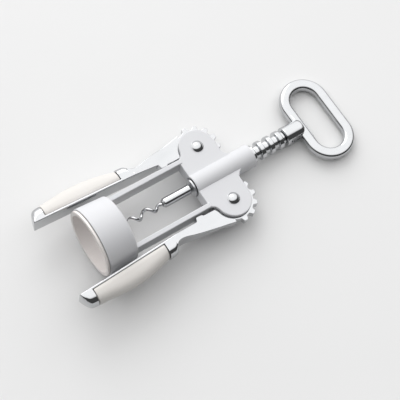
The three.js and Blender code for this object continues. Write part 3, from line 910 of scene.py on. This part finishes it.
    def build(self, dresser: Dresser) -> None:
        """Makes the lever, its grip and both screws."""
        name = self.side.name.lower()
        body = name + "_lever"
        spots = [(x, self.screw_y, 0.0) for x in self.screw_x]
        shanks = [rod(self.screw_low, *self.shank_room, Axis.PIVOT, spot) for spot in spots]
        heads = [rod(self.screw_low, *self.head_room, Axis.PIVOT, spot) for spot in spots]
        pin_hole = rod(-self.pin_reach, self.pin_reach, RIVET_HOLE, Axis.PIVOT, (PIVOT_X, PIVOT_Y, 0.0))
        shells = (self.head(), self.stop(), self.arm(), self.wheel(), self.web())
        joins = [(Cut.JOIN, s.mirrored(self.side)) for s in shells]
        holes = [(Cut.REMOVE, s.mirrored(self.side)) for s in (pin_hole, *shanks)]
        chrome = solid(f"{name}_arm", self.rail_plate().mirrored(self.side), *joins, *holes)
        dresser.dress(chrome, Slot.CHROME, body, f"lever_{name}")
        half = self.web_half + self.slit_gap
        slit = plate(oblong(-13.5, 32.0, 18.0, self.web_y + 0.2), 0.1, -half, half, 0.05)
        cuts = [(Cut.REMOVE, s.mirrored(self.side)) for s in (slit, *shanks, *heads)]
        grip = solid(f"{name}_grip", self.grip().mirrored(self.side), *cuts)
        dresser.dress(grip, Slot.IVORY, body, f"grip_{name}")
        for x, end in zip(self.screw_x, ("front", "rear")):
            shell, bars = self.screw(x)
            piece = solid(f"{name}_grip_screw_{end}", shell, *bars)
            dresser.dress(piece, Slot.STEEL, body, f"grip_screw_{name}_{end}")


@dataclass
class Pivot:
    """Domed rivet through the cheeks and the lever, and the washer under its back head."""

    side: Side
    shank: float = 2.0
    dome_radius: float = 3.1
    dome_low: float = 4.15
    dome_high: float = 5.6
    back_radius: float = 2.9
    back_low: float = -6.4
    back_high: float = -5.4
    washer_radius: float = 3.8
    washer_z: tuple = (-5.1, -4.3)
    gap: float = 0.15

    def build(self, dresser: Dresser) -> None:
        """Turns the rivet, its dome a circle's arc, and the washer."""
        name = self.side.name.lower()
        centre = (PIVOT_X, self.side.value * PIVOT_Y, 0.0)
        rise = self.dome_high - self.dome_low
        sphere = (self.dome_radius**2 + rise**2) / (2 * rise)
        span = math.asin(self.dome_radius / sphere)
        t = np.linspace(span, 0, 14)
        dome = np.stack([self.dome_high - sphere * (1 - np.cos(t)), sphere * np.sin(t)], 1)
        seat = self.dome_low - 0.05
        lower = soften([
            (self.back_low, 0), (self.back_low, self.back_radius - 0.4), (self.back_high, self.back_radius),
            (self.back_high, self.shank), (seat, self.shank), (seat, self.dome_radius),
            (self.dome_low + 0.1, self.dome_radius),
        ], [0, 0.4, 0.15, 0.05, 0.05, 0.08, 0], closed=False)
        shell = turned(np.concatenate([lower, dome[1:]]), Axis.PIVOT, centre, False, PIN_SIDES)
        dresser.dress(solid(f"{name}_rivet", shell), Slot.CHROME, "frame", f"pivot_rivet_{name}")
        bore = self.shank + self.gap
        washer = collar(*self.washer_z, bore, self.washer_radius, 0.14, Axis.PIVOT, centre, PIN_SIDES)
        dresser.dress(solid(f"{name}_washer", washer), Slot.STEEL, "frame", f"rivet_washer_{name}")


@dataclass
class Rack:
    """Chrome sleeve with ring-shaped teeth."""

    start: float = 58.9
    end: float = 113.5
    bore: float = 2.5
    groove_radius: float = 3.45
    ridge_radius: float = 4.9
    pitch: float = 5.558
    ridges: int = 10
    ridges_below: int = 2
    top_half: float = 1.15
    root_half: float = 1.65

    def build(self, dresser: Dresser) -> None:
        """Turns a profile with one trapezium for each ridge."""
        middle = PIVOT_X + (np.arange(self.ridges) - self.ridges_below) * self.pitch
        shape = np.array([
            (-self.root_half, self.groove_radius), (-self.top_half, self.ridge_radius),
            (self.top_half, self.ridge_radius), (self.root_half, self.groove_radius),
        ])
        teeth = (shape[None] + np.stack([middle, 0 * middle], 1)[:, None]).reshape(-1, 2)
        ends = [(self.end, self.groove_radius), (self.end, self.bore), (self.start, self.bore),
                (self.start, self.groove_radius)]
        corners = np.concatenate([teeth, ends])
        inside = (corners[:, 0] >= self.start) & (corners[:, 0] <= self.end)
        shell = turned(soften(corners[inside], 0.32, steps=5), sides=ROD_SIDES)
        dresser.dress(solid("rack", shell), Slot.CHROME, "rack", "rack_sleeve")


@dataclass
class Spindle:
    """Core rod and fork of the screw, with the thrust washer and the fork's pin."""

    core_radius: float = 2.2
    spigot_radius: float = 1.2
    spigot_start: float = 50.8
    core_start: float = 58.9
    fork_start: float = 113.8
    fork_radius: float = 5.0
    round_x: float = 120.4
    slot_x: float = 115.6
    slot_half: float = 2.8
    far_x: float = 140.0
    nose: float = 4.2
    pin_x: float = 119.0
    pin_radius: float = 1.2
    pin_low: float = -4.75
    pin_high: float = 4.0
    pin_gap: float = 0.1
    washer_x: tuple = (57.6, 58.6)
    washer_bore: float = 1.4
    washer_radius: float = 4.7

    def build(self, dresser: Dresser) -> None:
        """Turns the rod, keeps the fork's round-ended plan and cuts its slot."""
        r = self.fork_radius
        corners = [
            (self.spigot_start, 0), (self.spigot_start, self.spigot_radius),
            (self.core_start, self.spigot_radius), (self.core_start, self.core_radius),
            (self.fork_start, self.core_radius), (self.fork_start, r), (self.round_x + r - 0.02, r),
            (self.round_x + r - 0.02, 0),
        ]
        body = turned(soften(corners, [0, 0.2, 0.1, 0.15, 0.1, 0.6, self.nose, 0], closed=False), ring=False)
        end = arc((self.round_x, 0.0), r, -np.pi / 2, np.pi / 2, 48)
        before = [(40.0, r + 1), (40.0, -r - 1), (self.round_x, -r - 1)]
        outline = np.concatenate([before, end, [(self.round_x, r + 1)]])
        plan = plate(outline, 0.05, -THROUGH, THROUGH, 0.1)
        box, half = oblong(self.slot_x, self.far_x, -THROUGH, THROUGH), self.slot_half
        slot = plate(box, 0.4, -half, half, 0.2)
        middle = (self.pin_x, 0.0, 0.0)
        top, wide = self.pin_high + self.pin_gap, self.pin_radius + self.pin_gap
        hole = rod(-THROUGH, top, wide, Axis.PIVOT, middle)
        piece = solid("spindle_fork", body, (Cut.KEEP, plan), (Cut.REMOVE, slot), (Cut.REMOVE, hole))
        dresser.dress(piece, Slot.CHROME, "screw", "spindle")
        pin = rod(self.pin_low, self.pin_high, self.pin_radius, Axis.PIVOT, middle, 0.2)
        dresser.dress(solid("fork_pin", pin), Slot.CHROME, "screw", "ring_pin")
        washer = collar(*self.washer_x, self.washer_bore, self.washer_radius, 0.2, sides=ROD_SIDES)
        dresser.dress(solid("thrust_ring", washer), Slot.STEEL, "screw", "thrust_washer")


@dataclass
class Worm:
    """Open helix with a ground point, and the plain rod that holds it."""

    wire: float = 0.84
    helix: float = 1.6
    pitch: float = 8.8
    point_x: float = 21.5
    full_x: float = 37.4
    straight_x: float = 40.8
    shank_x: float = 48.5
    crest_x: float = 22.7
    point_length: float = 5.5
    rod_x: tuple = (41.0, 57.3)
    rod_radius: float = 2.5
    rod_bore: float = 1.2

    def build(self, dresser: Dresser) -> None:
        """Wire on (x, r cos a, r sin a) with a = 2 pi (x - crest) / pitch; r falls smoothly to the shank."""
        x = np.linspace(self.point_x, self.shank_x, 420)
        ease = np.clip((self.straight_x - x) / (self.straight_x - self.full_x), 0, 1)
        spread = self.helix * ease**2 * (3 - 2 * ease)
        a = 2 * np.pi * (x - self.crest_x) / self.pitch
        around = np.stack([0 * x, np.cos(a), np.sin(a)], 1)
        path = np.stack([x, 0 * x, 0 * x], 1) + around * spread[:, None]
        run = np.concatenate([[0], np.cumsum(np.linalg.norm(np.diff(path, axis=0), axis=1))])
        radius = self.wire * np.clip(run / self.point_length, 0.06, 1) ** 0.6
        dresser.dress(solid("worm_wire", tube(path, radius, around)), Slot.CHROME, "screw", "worm")
        low, high = self.rod_x
        corners = [
            (low, self.rod_bore), (low, self.rod_radius - 0.8), (low + 1.0, self.rod_radius),
            (high - 0.7, self.rod_radius), (high, self.rod_radius - 0.7), (high, self.rod_bore + 0.15),
        ]
        holder = turned(soften(corners, 0.2), sides=PIN_SIDES)
        dresser.dress(solid("worm_rod", holder), Slot.CHROME, "screw", "worm_socket")


@dataclass
class RingHandle:
    """Chrome ring with a lug in the fork and a bottle-opener lip."""

    centre_x: float = 135.1
    straight: float = 10.6
    outer: float = 13.3
    inner: float = 7.6
    half: float = 2.5
    section_power: float = 3.0
    lug_start: float = 115.9
    lug_half: float = 4.0
    pin_x: float = 119.0
    pin_hole: float = 1.3
    hole_reach: float = 6.0
    lip_start: float = 125.5
    lip_end: float = 129.1
    lip_y: tuple = (-7.0, 3.0)
    lip_z: tuple = (-2.2, -1.0)

    def ring(self) -> Shell:
        """Superellipse |n/a|^p + |z/b|^p = 1 carried round a line of two half circles and two straights."""
        middle, wide = (self.outer + self.inner) / 2, (self.outer - self.inner) / 2
        t = np.linspace(0, np.pi, 56)
        turn = np.concatenate([t, t + np.pi])
        shift = np.repeat([self.straight, -self.straight], len(t))
        normal = np.stack([np.cos(turn), np.sin(turn)], 1)
        path = np.stack([self.centre_x + middle * normal[:, 0], shift + middle * normal[:, 1]], 1)
        s = np.linspace(0, 2 * np.pi, 56, endpoint=False)
        power = 2 / self.section_power
        across, up = wide * bent(np.cos(s), power), self.half * bent(np.sin(s), power)
        plan = path[:, None] + across[None, :, None] * normal[:, None]
        height = np.broadcast_to(up[None, :, None], (*plan.shape[:2], 1))
        return grid_shell(np.concatenate([plan, height], -1), ring=True)

    def build(self, dresser: Dresser) -> None:
        """Joins ring, lug and lip, and drills the lug."""
        nose = arc((self.lug_start + self.lug_half, 0.0), self.lug_half, np.pi / 2, 1.5 * np.pi, 32)
        outline = np.concatenate([nose, [(125.0, -self.lug_half), (125.0, self.lug_half)]])
        lug = plate(outline, 0.1, -self.half, self.half, 0.35)
        low, high = self.lip_y
        root, tip = self.lip_start, self.lip_end
        corners = np.array([(root, low - 1.0), (tip, low), (tip, high), (root, high + 1.0)])
        lip = plate(corners, 1.0, *self.lip_z, 0.3)
        hole = rod(-self.hole_reach, self.hole_reach, self.pin_hole, Axis.PIVOT, (self.pin_x, 0.0, 0.0))
        piece = solid("ring_pull", self.ring(), (Cut.JOIN, lug), (Cut.JOIN, lip), (Cut.REMOVE, hole))
        dresser.dress(piece, Slot.CHROME, "screw", "ring_handle")


# Studio ----------


@dataclass
class Studio:
    """Pale board, one soft light, surroundings and camera."""

    bell_contact: tuple = (16.6, -16.75)
    ring_contact: tuple = (147.4, -2.55)
    floor_reach: float = 900.0
    floor_centre: float = 60.0
    floor_rows: int = 5
    target: tuple = (58.12, -7.5, 0.0)
    distance: float = 522.0
    azimuth: float = 50.73
    elevation: float = 64.93
    roll: float = 18.8
    lens: float = 96.82
    sensor: float = 36.0
    clip: tuple = (0.05, 20.0)
    light_spot: tuple = (170, 680, 580)
    light_aim: tuple = (60, 0, 0)
    light_size: float = 600.0
    light_power: float = 2.3
    sky: float = 1.7
    dome: tuple = (0.10, 0.55, 0.83)
    sky_steps: tuple = ((0.0, 0.05), (0.40, 0.05), (0.50, 0.70), (0.70, 0.95), (1.0, 1.0))
    backdrop: tuple = (0.86, 0.86, 0.87)

    def floor(self) -> None:
        """Plane through the two lines that the corkscrew rests on, at the bell's rim and the ring's end."""
        (x0, z0), (x1, z1) = self.bell_contact, self.ring_contact
        run, rows = np.linspace(-1, 1, self.floor_rows), self.floor_rows
        x, y = np.meshgrid(run, run, indexing="ij")
        x, y = x * self.floor_reach + self.floor_centre, y * self.floor_reach
        points = np.stack([x, y, z0 + (x - x0) * (z1 - z0) / (x1 - x0)], -1)
        number = np.arange(rows * rows).reshape(rows, rows)
        faces = np.stack([number[:-1, :-1], number[1:, :-1], number[1:, 1:], number[:-1, 1:]], -1)
        mesh = bpy.data.meshes.new("board")
        mesh.from_pydata(place(points.reshape(-1, 3)), [], faces.reshape(-1, 4).tolist())
        mesh.materials.append(Board().material())
        board = linked("board", mesh)

    def surroundings(self) -> None:
        """Sky whose strength steps up with the cosine of the angle to the bright dome's middle."""
        world = bpy.data.worlds.new("studio")
        bpy.context.scene.world = world
        nodes = Nodes(world)
        toward = nodes.add("ShaderNodeTexCoord", output="Generated")
        sockets = {0: toward, 1: self.dome}
        closeness = nodes.add("ShaderNodeVectorMath", {"operation": "DOT_PRODUCT"}, sockets, "Value")
        stops = [(position, (level,) * 3) for position, level in self.sky_steps]
        share = nodes.add("ShaderNodeValToRGB", {"stops": stops}, {"Fac": closeness})
        seen = nodes.add("ShaderNodeLightPath", output="Is Camera Ray")
        colour = nodes.blend(seen, share, self.backdrop)
        back = nodes.add("ShaderNodeBackground", {}, {"Color": colour, "Strength": self.sky})
        nodes.add("ShaderNodeOutputWorld", {}, {"Surface": back})

    def light(self) -> None:
        """Soft square light, turned from its spot to its aim."""
        light = bpy.data.lights.new("overhead", "AREA")
        light.shape, light.energy = "RECTANGLE", self.light_power
        light.size = light.size_y = self.light_size * MM
        lamp = linked("overhead", light)
        spot, aim = Vector(place(self.light_spot)), Vector(place(self.light_aim))
        lamp.location = spot
        lamp.rotation_euler = (aim - spot).to_track_quat("-Z", "Y").to_euler()

    def camera(self) -> None:
        """Camera on a sphere round its target, turned by its roll about the line of sight."""
        a, e, r = map(math.radians, (self.azimuth, self.elevation, self.roll))
        ahead = Vector((math.sin(a) * math.cos(e), math.cos(a) * math.cos(e), -math.sin(e)))
        level = ahead.cross(Vector((0, 0, 1))).normalized()
        upright = level.cross(ahead)
        right = level * math.cos(r) + upright * math.sin(r)
        up = right.cross(ahead)
        data = bpy.data.cameras.new("camera")
        data.lens, data.sensor_width = self.lens, self.sensor
        data.clip_start, data.clip_end = self.clip
        camera = linked("camera", data)
        turn = Matrix((right, up, -ahead)).transposed().to_4x4()
        where = Vector(place(self.target)) - ahead * self.distance * MM
        camera.matrix_world = Matrix.Translation(where) @ turn
        bpy.context.scene.camera = camera

    def build(self) -> None:
        """Sets up everything that isn't the corkscrew."""
        self.floor()
        self.surroundings()
        self.camera()
        self.light()
        bpy.context.scene.view_settings.view_transform = "Standard"


def main() -> None:
    """Builds the corkscrew part by part, then the studio."""
    dresser = Dresser()
    Casting().build(dresser)
    BellLiner().build(dresser)
    for side in Side:
        Lever(side).build(dresser)
        Pivot(side).build(dresser)
    Rack().build(dresser)
    Spindle().build(dresser)
    Worm().build(dresser)
    RingHandle().build(dresser)
    Studio().build()


if __name__ == "__main__":
    logging.basicConfig(level=logging.INFO, format="%(message)s")
    main()
